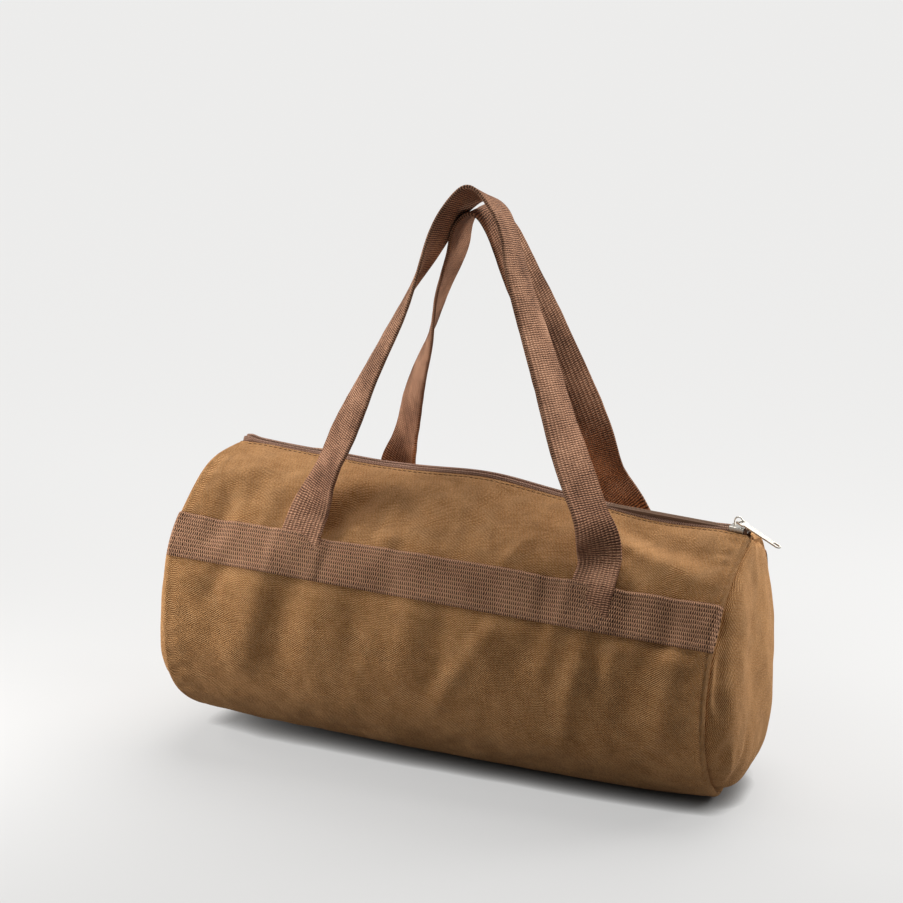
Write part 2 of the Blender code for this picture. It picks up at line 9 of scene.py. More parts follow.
import bpy
import numpy as np
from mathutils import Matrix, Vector


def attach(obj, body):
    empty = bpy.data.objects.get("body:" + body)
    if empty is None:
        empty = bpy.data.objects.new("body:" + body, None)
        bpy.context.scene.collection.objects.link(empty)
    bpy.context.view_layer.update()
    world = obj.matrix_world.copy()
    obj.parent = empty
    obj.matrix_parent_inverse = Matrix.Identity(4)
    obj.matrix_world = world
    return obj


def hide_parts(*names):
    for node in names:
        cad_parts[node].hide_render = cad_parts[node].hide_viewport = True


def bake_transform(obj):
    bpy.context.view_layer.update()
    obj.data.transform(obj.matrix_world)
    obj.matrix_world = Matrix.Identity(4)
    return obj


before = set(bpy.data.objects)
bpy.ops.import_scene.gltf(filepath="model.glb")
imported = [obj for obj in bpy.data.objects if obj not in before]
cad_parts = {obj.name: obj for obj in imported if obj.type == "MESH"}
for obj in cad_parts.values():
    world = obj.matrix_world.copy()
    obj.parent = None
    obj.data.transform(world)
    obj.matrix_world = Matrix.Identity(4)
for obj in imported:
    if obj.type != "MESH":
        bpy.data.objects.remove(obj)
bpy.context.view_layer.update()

MM = 0.001
QUARTER = math.pi / 2

# The shell: the solids' form, with the slack that the cloth shows. Pairs are left, right;
# pairs named AT or FROM are a distance down from the zip and its reach, in millimetres
BAG_LENGTH = 360 * MM
HALF_DEPTH = (93.8 * MM, 78.9 * MM)
HALF_HEIGHT = (91.0 * MM, 82.7 * MM)
RIDGE = (13.5 * MM, 12.2 * MM)
RIDGE_REACH = math.radians(51.6)
SHOULDER_FULLNESS = 0.205
BOTTOM_SAG = 2.0 * MM
LEFT_RISE = 9.5 * MM
LEFT_RISE_REACH = 0.8
RIGHT_RISE = 3.5 * MM
RIGHT_RISE_REACH = 0.15
LEFT_SEAM_SWELL = 4.5 * MM
RIGHT_SEAM_BOW = 5.0 * MM
BOW_ANGLE = math.radians(15)
SEAM_SKEW = (0.105, -0.128)
SEAM_RAKE = (0.0376, 0.0704)
SEAM_TUCK = (2.4 * MM, 3.0 * MM)
SEAM_TUCK_REACH = 2.6 * MM
SEAM_LIP = 0.35 * MM
SEAM_LIP_WIDTH = 2.5 * MM
SEAM_LIP_FROM = (8, 14)
PINCH = 4.0 * MM
PINCH_REACH = 7 * MM
PINCH_AT = (84, 13)
SHOULDER_SWELL = 8.0 * MM
SHOULDER_AT = (40, 25)
SHOULDER_SHARE = 0.16
GROOVE_DEPTH = 2.0 * MM
GROOVE_SCALE = 0.972
PUFF = (19.5 * MM, 18.3 * MM)
PUFF_SAG = 0.7
OPENING_HALF_WIDTH = 3.1 * MM
OPENING_AT_ENDS = 6.0 * MM
OPENING_REACH = 0.07
STRAP_WIDTH = 30 * MM
STRAP_THICKNESS = 1.8 * MM
BAND_TOP = math.radians(48.2)
FOOT_X = {"front": (-99.5 * MM, 103.0 * MM), "rear": (-88.0 * MM, 88.0 * MM)}
CLEARANCE = 0.3 * MM
BAND_GAP = 0.5 * MM
FOOT_UNDER = 1.9 * MM

# Relief of the cloth, in millimetres
FOLD_DEPTH = 0.70
FOLD_BEND = 0.22
FOLD_BEND_TURN = 3.1
FOLD_END = (-0.3, 0.55)
# Slack: height, size along and down, shift along and down on the rear, seed
SLACK = ((1.0, 34, 27, 9, 0, 3), (0.45, 13, 16, 0, 5, 8), (0.16, 5.5, 6.5, 0, 0, 12))
# Rolls along the band's edges: height and distance below its top edge
ROLLS = ((0.5, -8), (1.3, 38))
ROLL_WIDTH = 7
# Flat place for a strap: start and reach of its side, its lower end and its upper end
FLAT_SIDE = (16, 14)
FLAT_LOW = (-2, 6)
FLAT_HIGH = (-34, 14)
FLAT_DEPTH = 0.8
# Gathers beside the end seams
GATHER = 0.55
GATHER_TURN = 0.42
GATHER_STRAY = 2.6
GATHER_AT = (7, 6)
# Where the seams, the zip and the floor hold the cloth smooth
SEAM_HOLDS = 13
ZIP_HOLDS = (4, 10)
FLOOR_HOLDS = (1, 15)
REAR_HOLLOW = 2.6
REAR_HOLLOW_AT = (13, 11)
# The zip line's rise: height, place from the left seam and half width
ZIP_WAVES = ((5.2, 180, 43), (-3.2, 300, 34), (-0.7, 42, 30), (-0.5, 96, 20))
ZIP_WAVE_REACH = 34
ZIP_WAVE_ENDS = 14

# Soft folds, each from one place to another: X and distance down from the zip at both ends,
# half width and height, all in millimetres
FRONT_FOLDS = (
    (-87, 74, -69, 30, 11, -11.5), (-74, 90, -50, 36, 22, -4.6), (-122, 60, -108, 20, 12, 2.2),
    (-156, 52, -140, 26, 12, 1.8), (-140, 40, -138, 60, 8, -1.4), (-157, 58, -161, 96, 8, -3.6),
    (92, 33, 186, 57, 8, 4.6), (103, 19, 168, 32, 8, -4.2), (104, 66, 178, 93, 16, -6.0),
    (52, 44, 42, 70, 5.5, 2.2), (-5, 40, -3, 62, 6, -1.0), (12, 44, 8, 68, 7, -1.0),
    (-20, 60, -8, 26, 15, 1.2),
    (-114, 103, -140, 174, 13, 4.8), (-141, 103, -158, 130, 8, -3.2), (-97, 106, -111, 176, 12, -2.6),
    (-72, 106, -88, 166, 10, 1.8), (-45, 106, -60, 158, 11, -2.0), (-8, 106, -20, 156, 11, 2.6),
    (12, 106, 2, 158, 9, -1.8), (47, 106, 5, 170, 7, 3.4), (60, 106, 38, 142, 10, 2.0),
    (72, 106, 60, 140, 7, -1.5), (86, 104, 76, 142, 5, 1.0), (106, 104, 88, 175, 7, 3.0),
    (118, 104, 110, 142, 6, -1.7), (126, 104, 121, 128, 5, 1.2), (146, 98, 132, 165, 9, -2.4),
    (168, 94, 154, 166, 8, 2.6),
    (-140, 168, -60, 184, 12, 1.2), (10, 176, 90, 186, 12, 1.2),
    (-28, 68, -31, 104, 8, -2.4), (74, 68, 73, 100, 6, -2.2), (157, 66, 156, 104, 8, -3.6),
    (130, 66, 128, 100, 6, -1.4), (-10, 70, -12, 104, 8, 1.2), (-134, 72, -136, 102, 8, -1.2),
)
REAR_FOLDS = (
    (-76, 66, -54, 24, 14, -5.0), (96, 68, 82, 26, 12, -4.0),
    (-122, 112, -152, 160, 13, 3.0), (-70, 112, -96, 166, 10, 2.4), (-20, 112, -38, 152, 9, -2.2),
    (40, 110, 12, 160, 10, 3.0), (102, 106, 78, 170, 9, 2.4), (160, 98, 140, 158, 9, 2.4),
    (-140, 60, -120, 22, 13, 2.4), (20, 62, 32, 18, 14, 2.0), (66, 108, 44, 160, 8, -2.0),
    (-100, 108, -118, 156, 8, -2.4), (132, 104, 108, 156, 8, -2.0),
)
# The same for the end panels: Y and Z at both ends
END_FOLDS = (
    (-34, 152, -64, 58, 11, 2.6), (-63, 132, -71, 76, 6, -4.6), (-14, 150, -20, 44, 14, -1.6),
    (20, 150, 6, 34, 14, 1.6), (46, 132, 40, 50, 12, -1.4), (-64, 54, -50, 16, 4, -2.8),
    (-55, 50, -47, 18, 4, 2.0), (-34, 62, -42, 14, 5, -1.8),
)


# Numbers and meshes

def mixed(ends, share):
    return ends[0] * (1 - share) + ends[1] * share


def unit(vectors):
    return vectors / np.linalg.norm(vectors, axis=-1, keepdims=True)


def smooth_step(value):
    value = np.clip(value, 0, 1)
    return value * value * (3 - 2 * value)


def rising(value, start, reach):
    """0 up to the start, then softly up to 1 over the reach."""
    return smooth_step((value - start) / reach)


def bell(value, middle, half_width):
    return np.exp(-(((value - middle) / half_width) ** 2))


def way_along(points):
    """Length passed at each point of a line."""
    return np.concatenate(((0,), np.cumsum(np.linalg.norm(np.diff(points, axis=0), axis=1))))


def shell_point(angle, share):
    half_height = mixed(HALF_HEIGHT, share)
    rise = np.sin(angle)
    fullness = 1 + SHOULDER_FULLNESS * np.maximum(rise, 0) ** 3
    y = -mixed(HALF_DEPTH, share) * np.cos(angle) * fullness
    reach = np.where(rise > 0, half_height, half_height + BOTTOM_SAG)
    z = np.maximum(half_height + reach * rise, 0)
    z = z + mixed(RIDGE, share) * (1 - np.minimum(np.abs(angle - QUARTER) / RIDGE_REACH, 1)) ** 2
    under = np.maximum(-rise, 0)
    z = z + LEFT_RISE * np.maximum(1 - share / LEFT_RISE_REACH, 0) ** 2 * under
    z = z + RIGHT_RISE * np.maximum(1 - (1 - share) / RIGHT_RISE_REACH, 0) ** 2 * under
    left = SEAM_SKEW[0] * y + SEAM_RAKE[0] * (z - half_height) - BAG_LENGTH / 2
    left = left - LEFT_SEAM_SWELL * np.sin(2 * angle) ** 2
    right = SEAM_SKEW[1] * y + SEAM_RAKE[1] * (z - half_height) + BAG_LENGTH / 2
    right = right - RIGHT_SEAM_BOW * np.maximum(np.cos(angle - BOW_ANGLE), 0) ** 2
    return np.stack((mixed((left, right), share), y, z), axis=-1)


def shell_round(angle, share):
    step = 0.002
    return unit(shell_point(angle + step, share) - shell_point(angle - step, share))


def shell_normal(angle, share):
    step = 0.002
    along = shell_point(angle, share + step) - shell_point(angle, share - step)
    return unit(np.cross(along, shell_round(angle, share)))


TABLE_ANGLES = np.linspace(-QUARTER, QUARTER, 361)
TABLE_SHARES = np.linspace(0, 1, 21)


def distance_table():
    """Distance from the zip round the front, for every angle and share of the tables."""
    angles, shares = np.meshgrid(TABLE_ANGLES, TABLE_SHARES)
    points = shell_point(angles, shares)
    steps = np.linalg.norm(np.diff(points, axis=1), axis=2)
    passed = np.concatenate((np.zeros((len(TABLE_SHARES), 1)), np.cumsum(steps, axis=1)), axis=1)
    return passed[:, -1:] - passed


DISTANCES = distance_table()


def folded_angle(angle):
    """Any angle brought to the front half, and True where it was on the rear."""
    angle = np.where(angle < -QUARTER, angle + 4 * QUARTER, angle)
    return np.where(angle > QUARTER, 2 * QUARTER - angle, angle), angle > QUARTER


def from_zip(angle, share):
    """Distance round the section from the zip."""
    front, _ = folded_angle(angle)
    columns = len(TABLE_ANGLES) - 1
    rows = len(TABLE_SHARES) - 1
    column = np.clip((front + QUARTER) / (2 * QUARTER) * columns, 0, columns - 0.001)
    row = np.clip(share * rows, 0, rows - 0.001)
    low_column = column.astype(int)
    low_row = row.astype(int)
    part = column - low_column
    near, far = (DISTANCES[line, low_column] * (1 - part) + DISTANCES[line, low_column + 1] * part
                 for line in (low_row, low_row + 1))
    return near * (1 - (row - low_row)) + far * (row - low_row)


def band_top(share):
    """Distance from the zip to a band's top edge at one share."""
    return float(from_zip(np.array(BAND_TOP), np.array(share)))


def angle_at(distance, share, rear=False):
    """Angle at a distance from the zip, for scalars or arrays of distances at one share."""
    angles = TABLE_ANGLES[::6]
    passed = np.array([float(from_zip(np.array(angle), np.array(share))) for angle in angles])
    found = np.interp(distance, passed[::-1], angles[::-1])
    return 2 * QUARTER - found if rear else found


def share_at(x, angle):
    left = shell_point(angle, 0.0)[..., 0]
    right = shell_point(angle, 1.0)[..., 0]
    return (x - left) / (right - left)


def value_noise(x, y, seed):
    """Smooth noise from -1 to 1 over a plane, the same on each run."""
    cell_x = np.floor(x)
    cell_y = np.floor(y)
    part_x = smooth_step(x - cell_x)
    part_y = smooth_step(y - cell_y)

    def corner(shift_x, shift_y):
        turned = (cell_x + shift_x) * 127.1 + (cell_y + shift_y) * 311.7 + seed * 74.7
        mixed_up = np.sin(turned) * 43758.5453
        return (mixed_up - np.floor(mixed_up)) * 2 - 1

    low = corner(0, 0) * (1 - part_x) + corner(1, 0) * part_x
    high = corner(0, 1) * (1 - part_x) + corner(1, 1) * part_x
    return low * (1 - part_y) + high * part_y


def fold_height(x, down, folds):
    """Sum of soft folds at places in millimetres."""
    total = np.zeros_like(x)
    for x0, down0, x1, down1, half_width, height in folds:
        way = np.array((x1 - x0, down1 - down0), float)
        length = np.linalg.norm(way)
        way /= length
        along = ((x - x0) * way[0] + (down - down0) * way[1]) / length
        across = -(x - x0) * way[1] + (down - down0) * way[0]
        across = across + FOLD_BEND * half_width * np.sin(along * FOLD_BEND_TURN + x0)
        reach = rising(along, *FOLD_END) * rising(1 - along, *FOLD_END)
        total += height * reach * bell(across, 0, half_width)
    return total


def from_foot(x, side):
    """Distance along X from the middle of the nearer foot of a handle."""
    left, right = FOOT_X[side]
    return np.minimum(np.abs(x - left), np.abs(x - right))


def relief(angle, share):
    """Height of the soft surface over the plain shell."""
    rear = folded_angle(angle)[1]
    place = shell_point(angle, share)
    x = place[..., 0] / MM
    down = from_zip(angle, share) / MM
    heights = np.where(rear, fold_height(x, down, REAR_FOLDS), fold_height(x, down, FRONT_FOLDS))
    heights = FOLD_DEPTH * heights
    for height, long, wide, rear_x, rear_down, seed in SLACK:
        noise = value_noise(x / long + rear_x * rear, down / wide + rear_down * rear, seed)
        heights = heights + height * noise
    below = down - from_zip(np.full_like(angle, BAND_TOP), share) / MM
    for height, middle in ROLLS:
        heights = heights + height * bell(below, middle, ROLL_WIDTH)
    nearest = np.where(rear, *(from_foot(place[..., 0], side) for side in ("rear", "front"))) / MM
    flat = (1 - rising(nearest, *FLAT_SIDE)) * (1 - rising(below, *FLAT_LOW))
    flat = flat * rising(below, *FLAT_HIGH)
    heights = np.where(heights > 0, heights * (1 - flat), heights) - FLAT_DEPTH * flat
    from_seam = np.minimum(share, 1 - share) * BAG_LENGTH / MM
    stray = GATHER_STRAY * value_noise(down / 21, share * 3, 41)
    gather = GATHER * np.sin(down * GATHER_TURN + stray)
    heights = heights + gather * bell(from_seam, *GATHER_AT)
    heights = heights * smooth_step(from_seam / SEAM_HOLDS) * rising(down, *ZIP_HOLDS)
    heights = heights - np.where(rear, REAR_HOLLOW, 0.0) * bell(down, *REAR_HOLLOW_AT)
    return heights * MM * rising(place[..., 2] / MM, *FLOOR_HOLDS)


def opening(share):
    """Half the gap between the canvas lips, wider where the slider rests at each end."""
    inside = smooth_step(np.minimum(share, 1 - share) / OPENING_REACH)
    return mixed((OPENING_AT_ENDS, OPENING_HALF_WIDTH), inside)


def zip_wave(share):
    """The ridge's own rise and fall along the bag."""
    x = share * BAG_LENGTH / MM
    rise = sum(height * bell(x, middle, half_width) for height, middle, half_width in ZIP_WAVES)
    return rise * MM * smooth_step(np.minimum(share, 1 - share) * ZIP_WAVE_ENDS)


def on_shell(angle, share, lift=0.0, soft=True):
    """Point at a height over the soft canvas, with the end seams drawn in."""
    from_seam = np.minimum(share, 1 - share) * BAG_LENGTH
    tuck = mixed(SEAM_TUCK, np.round(share)) * np.maximum(1 - from_seam / SEAM_TUCK_REACH, 0) ** 2
    down = from_zip(angle, share) / MM
    front = angle < QUARTER
    pinch = PINCH * bell(down, *PINCH_AT) * (share > 0.5) * front
    tuck = tuck + pinch * np.maximum(1 - from_seam / PINCH_REACH, 0) ** 2
    swell = SHOULDER_SWELL * bell(down, *SHOULDER_AT) * bell(share, 0, SHOULDER_SHARE) * front
    height = lift + swell - tuck
    if soft:
        lip = SEAM_LIP * bell(from_seam, SEAM_TUCK_REACH, SEAM_LIP_WIDTH)
        height = height + relief(angle, share) + lip * rising(down, *SEAM_LIP_FROM)
    point = shell_point(angle, share) + shell_normal(angle, share) * height[..., None]
    point[..., 2] += zip_wave(share) * bell(down, 0, ZIP_WAVE_REACH)
    point[..., 2] = np.maximum(point[..., 2], 0)
    return point


def grid_object(name, points, places, material, wrap=False):
    """Quads over a grid of points, with cloth coordinates in metres as the UV map."""
    rows, columns = points.shape[:2]
    index = np.arange(rows * columns).reshape(rows, columns)
    near = index[:-1, :-1], index[1:, :-1], index[1:, 1:], index[:-1, 1:]
    faces = np.stack([corner.ravel() for corner in near], axis=1)
    if wrap:
        closing = index[:-1, -1], index[1:, -1], index[1:, 0], index[:-1, 0]
        faces = np.concatenate((faces, np.stack([corner.ravel() for corner in closing], axis=1)))
    mesh = bpy.data.meshes.new(name)
    mesh.vertices.add(rows * columns)
    mesh.vertices.foreach_set("co", points.reshape(-1, 3).astype(np.float32).ravel())
    mesh.loops.add(faces.size)
    mesh.loops.foreach_set("vertex_index", faces.ravel().astype(np.int32))
    mesh.polygons.add(len(faces))
    mesh.polygons.foreach_set("loop_start", np.arange(0, faces.size, 4, dtype=np.int32))
    mesh.update(calc_edges=True)
    layer = mesh.uv_layers.new(name="Cloth")
    layer.data.foreach_set("uv", places.reshape(-1, 2)[faces.ravel()].astype(np.float32).ravel())
    mesh.shade_smooth()
    mesh.validate()
    made = bpy.data.objects.new(name, mesh)
    mesh.materials.append(material)
    bpy.context.scene.collection.objects.link(made)
    return made


# Shader helpers

def feed(tree, socket, value):
    if isinstance(value, bpy.types.NodeSocket):
        tree.links.new(value, socket)
    else:
        socket.default_value = value


def math_node(tree, operation, *values, clamp=False):
    node = tree.nodes.new("ShaderNodeMath")
    node.operation = operation
    node.use_clamp = clamp
    for socket, value in zip(node.inputs, values):
        feed(tree, socket, value)
    return node.outputs[0]


def mix_node(tree, share, first, second):
    node = tree.nodes.new("ShaderNodeMix")
    node.data_type = "RGBA"
    feed(tree, node.inputs[0], share)
    node.inputs[6].default_value = (*first, 1)
    node.inputs[7].default_value = (*second, 1)
    return node.outputs[2]


class Nodes:
    """Short calls for building a material."""

    def __init__(self, name):
        self.material = bpy.data.materials.new(name)
        self.material.use_nodes = True
        self.tree = self.material.node_tree
        self.shader = self.tree.nodes["Principled BSDF"]
        place = self.tree.nodes.new("ShaderNodeUVMap")
        place.uv_map = "Cloth"
        split = self.tree.nodes.new("ShaderNodeSeparateXYZ")
        self.tree.links.new(place.outputs[0], split.inputs[0])
        self.place = place.outputs[0]
        self.along = split.outputs[0]
        self.across = split.outputs[1]
        coordinates = self.tree.nodes.new("ShaderNodeTexCoord")
        self.object = coordinates.outputs["Object"]

    def math(self, operation, *values, clamp=False):
        return math_node(self.tree, operation, *values, clamp=clamp)

    def noise(self, scale, detail=2.0, stretch=(1, 1, 1), source=None, roughness=0.5):
        mapping = self.tree.nodes.new("ShaderNodeMapping")
        mapping.inputs["Scale"].default_value = stretch
        feed(self.tree, mapping.inputs[0], source or self.place)
        node = self.tree.nodes.new("ShaderNodeTexNoise")
        node.inputs["Scale"].default_value = scale
        node.inputs["Detail"].default_value = detail
        node.inputs["Roughness"].default_value = roughness
        feed(self.tree, node.inputs["Vector"], mapping.outputs[0])
        return node.outputs["Fac"]

    def ramp(self, value, stops):
        node = self.tree.nodes.new("ShaderNodeValToRGB")
        while len(node.color_ramp.elements) < len(stops):
            node.color_ramp.elements.new(0.5)
        for element, (place, colour) in zip(node.color_ramp.elements, stops):
            element.position = place
            element.color = (*colour, 1)
        feed(self.tree, node.inputs[0], value)
        return node.outputs[0]

    def mix(self, share, first, second):
        return mix_node(self.tree, share, first, second)

    def threads(self, coordinate, pitch, shift=0.0):
        """1 on the crown of each thread and 0 between threads."""
        turned = self.math("MULTIPLY_ADD", coordinate, 2 * math.pi / pitch, shift)
        return self.math("MULTIPLY_ADD", self.math("COSINE", turned), 0.5, 0.5)

    def bump(self, height, distance, strength):
        node = self.tree.nodes.new("ShaderNodeBump")
        node.inputs["Strength"].default_value = strength
        node.inputs["Distance"].default_value = distance
        feed(self.tree, node.inputs["Height"], height)
        return node.outputs[0]

    def finish(self, colour, normal, roughness, sheen=0.0, tint=(1, 1, 1)):
        values = {"Base Color": colour, "Normal": normal, "Roughness": roughness,
                  "Specular IOR Level": 0.15, "Sheen Weight": sheen, "Sheen Roughness": 0.5,
                  "Sheen Tint": (*tint, 1)}
        for socket, value in values.items():
            feed(self.tree, self.shader.inputs[socket], value)
        return self.material


# Dark, middle and bright colours of each cloth
CANVAS_TONES = ((0.14, 0.055, 0.015), (0.43, 0.207, 0.074), (0.77, 0.455, 0.218))
WEBBING_TONES = ((0.032, 0.013, 0.007), (0.31, 0.148, 0.081), (0.60, 0.330, 0.195))
STRAP_TONES = ((0.055, 0.023, 0.013), (0.50, 0.253, 0.150), (0.86, 0.505, 0.325))
TAPE_TONES = ((0.14, 0.070, 0.046), (0.42, 0.235, 0.160), (0.60, 0.37, 0.27))


def canvas_material(name):
    """Slubbed plain weave with soft patches and a dry nap."""
    nodes = Nodes(name)
    across = nodes.math("MULTIPLY_ADD", nodes.noise(110, 2), 0.0013, nodes.across)
    along = nodes.math("MULTIPLY_ADD", nodes.noise(130, 2), 0.0013, nodes.along)
    weft = nodes.threads(across, 1.10 * MM)
    slope = nodes.math("MULTIPLY_ADD", along, -0.60, nodes.math("MULTIPLY", across, 0.80))
    warp = nodes.threads(slope, 1.15 * MM)
    over = nodes.noise(60, 3, roughness=0.6)
    over = nodes.math("MULTIPLY_ADD", over, 2.4, -0.85, clamp=True)
    weave = nodes.math("ADD", nodes.math("MULTIPLY", weft, over),
                       nodes.math("MULTIPLY", warp, nodes.math("SUBTRACT", 1.0, over)))
    fuzz = nodes.noise(1150, 2, roughness=0.75)
    lengths = nodes.noise(420, 2, (0.30, 1.6, 1), roughness=0.6)
    rounds = nodes.noise(420, 2, (1.6, 0.30, 1), roughness=0.6)
    tone = nodes.math("MULTIPLY_ADD", weave, 1.02, nodes.math("MULTIPLY", fuzz, 1.34))
    tone = nodes.math("MULTIPLY_ADD", lengths, 0.30, tone)
    tone = nodes.math("MULTIPLY_ADD", rounds, 0.26, tone)
    patches = nodes.noise(17, 4, source=nodes.object, roughness=0.6)
    tone = nodes.math("MULTIPLY_ADD", patches, 0.16, tone)
    blotches = nodes.noise(85, 3, source=nodes.object, roughness=0.6)
    tone = nodes.math("MULTIPLY_ADD", blotches, 0.46, tone)
    specks = nodes.math("GREATER_THAN", nodes.noise(640, 1, source=nodes.object), 0.78)
    tone = nodes.math("MULTIPLY_ADD", specks, 0.25, tone)
    low, middle, high = CANVAS_TONES
    tone = nodes.math("ADD", tone, -1.285)
    colour = nodes.ramp(tone, ((0.02, low), (0.48, middle), (1.0, high)))
    height = nodes.math("MULTIPLY_ADD", fuzz, 0.6, nodes.math("MULTIPLY", weave, 0.8))
    normal = nodes.bump(height, 0.5 * MM, 0.8)
    return nodes.finish(colour, normal, 0.95, 0.07, (1.0, 0.80, 0.58))


def webbing_material(name, tones=WEBBING_TONES, ribs=2.73 * MM, picks=1.45 * MM, stagger=math.pi,
                     furrow=0.0, sharp=1.50):
    """Cotton webbing: ribs along it, crossed by picks with dark gaps between them."""
    nodes = Nodes(name)
    across = nodes.math("MULTIPLY_ADD", nodes.noise(150, 2), 0.0010, nodes.across)
    along = nodes.math("MULTIPLY_ADD", nodes.noise(210, 2), 0.0014, nodes.along)
    places = nodes.math("DIVIDE", across, ribs)
    row = nodes.math("FLOOR", places)
    within = nodes.math("SUBTRACT", places, row)
    cord = nodes.math("SINE", nodes.math("MULTIPLY", within, math.pi))
    pick = nodes.threads(along, picks, nodes.math("MULTIPLY", row, stagger))
    gap = nodes.math("MULTIPLY", nodes.math("POWER", pick, 1.3), nodes.math("POWER", cord, 0.5))
    valley = nodes.math("POWER", nodes.math("SUBTRACT", 1.0, cord), 2.0)
    fuzz = nodes.noise(1150, 2, roughness=0.75)
    uneven = nodes.noise(330, 2, (1.0, 0.7, 1))
    depth = nodes.math("MULTIPLY_ADD", uneven, 1.1, sharp)
    light = nodes.math("SUBTRACT", 0.80 + 0.4 * sharp, nodes.math("MULTIPLY", gap, depth))
    light = nodes.math("SUBTRACT", light, nodes.math("MULTIPLY", valley, furrow))
    tone = nodes.math("MULTIPLY_ADD", fuzz, 0.50, nodes.math("SUBTRACT", light, 0.36))
    patches = nodes.noise(34, 4, source=nodes.object)
    tone = nodes.math("MULTIPLY_ADD", patches, 1.20, nodes.math("SUBTRACT", tone, 0.62))
    low, middle, high = tones
    colour = nodes.ramp(tone, ((0.06, low), (0.58, middle), (1.0, high)))
    height = nodes.math("MULTIPLY_ADD", fuzz, 0.25, nodes.math("SUBTRACT", cord, gap))
    normal = nodes.bump(height, 0.6 * MM, 0.9)
    return nodes.finish(colour, normal, 0.92, 0.06, (1.0, 0.80, 0.68))


def thread_material(name, colour):
    nodes = Nodes(name)
    twist = nodes.noise(2600, 1, source=nodes.object)
    shade = nodes.mix(twist, tuple(part * 0.7 for part in colour), colour)
    return nodes.finish(shade, nodes.bump(twist, 0.1 * MM, 0.5), 0.7, 0.1)


def metal_material(name):
    nodes = Nodes(name)
    marks = nodes.noise(900, 3, (1, 0.1, 1), source=nodes.object)
    colour = nodes.mix(marks, (0.30, 0.28, 0.25), (0.56, 0.53, 0.48))
    rough = nodes.math("MULTIPLY_ADD", marks, 0.18, 0.14)
    made = nodes.finish(colour, nodes.bump(marks, 0.02 * MM, 0.3), rough)
    nodes.shader.inputs["Metallic"].default_value = 1.0
    nodes.shader.inputs["Specular IOR Level"].default_value = 0.5
    return made


def plain_cloth_material(name, dark, light):
    nodes = Nodes(name)
    grain = nodes.noise(1200, 3, source=nodes.object, roughness=0.7)
    return nodes.finish(nodes.mix(grain, dark, light), nodes.bump(grain, 0.3 * MM, 0.6), 0.95)


# Canvas pieces

END_SHARE = 0.03
END_ROWS = 14
BODY_ROWS = 300
ROUND_POINTS = 460
LIP_ROLL = 0.9 * MM
LIP_ROLL_REACH = 1.0 * MM
HEM_LINE = 3.2 * MM
HEM_DENT = 0.55 * MM
HEM_DENT_WIDTH = 1.1 * MM
# The turned-in lip: depth under the skin and way back under the canvas, in millimetres
LIP_PATH = ((0.9, -0.25), (1.8, 0), (2.1, 5))
LIP_RUN = (0.9, 1.8, 7)
PANEL_POINTS = 420
PANEL_ROWS = 130
PANEL_CROWDING = 1.45
GROOVE_TURN = 0.3
PANEL_SLACK = ((1.1, 24, 46, 5, 17), (0.5, 9, 15, 0, 23))
PANEL_FOLDS_FROM = 0.05
PANEL_FOLDS_RISE = 2.4


def canvas_body(material):
    """Wrapped canvas with its folded lips beside the zip."""
    ends = np.linspace(0, END_SHARE, END_ROWS)[:-1], np.linspace(1 - END_SHARE, 1, END_ROWS)[1:]
    shares = np.concatenate((ends[0], np.linspace(END_SHARE, 1 - END_SHARE, BODY_ROWS), ends[1]))
    rows = []
    places = []
    for share in shares:
        gap = opening(share)
        edge = float(angle_at(gap, share))
        rear = 2 * QUARTER - edge
        angles = np.linspace(rear, 4 * QUARTER + edge, ROUND_POINTS)
        angles = np.where(angles > 3 * QUARTER, angles - 4 * QUARTER, angles)
        line = np.full_like(angles, share)
        distance = from_zip(angles, line)
        lip = np.maximum(1 - (distance - gap) / LIP_ROLL_REACH, 0)
        stitched = bell(distance - gap, HEM_LINE, HEM_DENT_WIDTH) * HEM_DENT
        outer = on_shell(angles, line, -LIP_ROLL * lip**2 - stitched)
        around = way_along(outer)
        lips = []
        for start, angle, way in ((outer[0], rear, 1), (outer[-1], edge, -1)):
            normal = shell_normal(np.array(angle), np.array(share))
            inward = shell_round(np.array(angle), np.array(share)) * way
            lips.append([start - normal * deep * MM + inward * back * MM for deep, back in LIP_PATH])
        rows.append(np.concatenate((lips[0][::-1], outer, lips[1])))
        run = np.array(LIP_RUN) * MM
        pad = np.concatenate((around[0] - run[::-1], around, around[-1] + run))
        places.append(np.stack((np.full(len(pad), outer[0, 0]), pad), axis=1))
    made = grid_object("canvas_wrap", np.array(rows), np.array(places), material)
    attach(made, "bag")
    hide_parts("canvas_body")


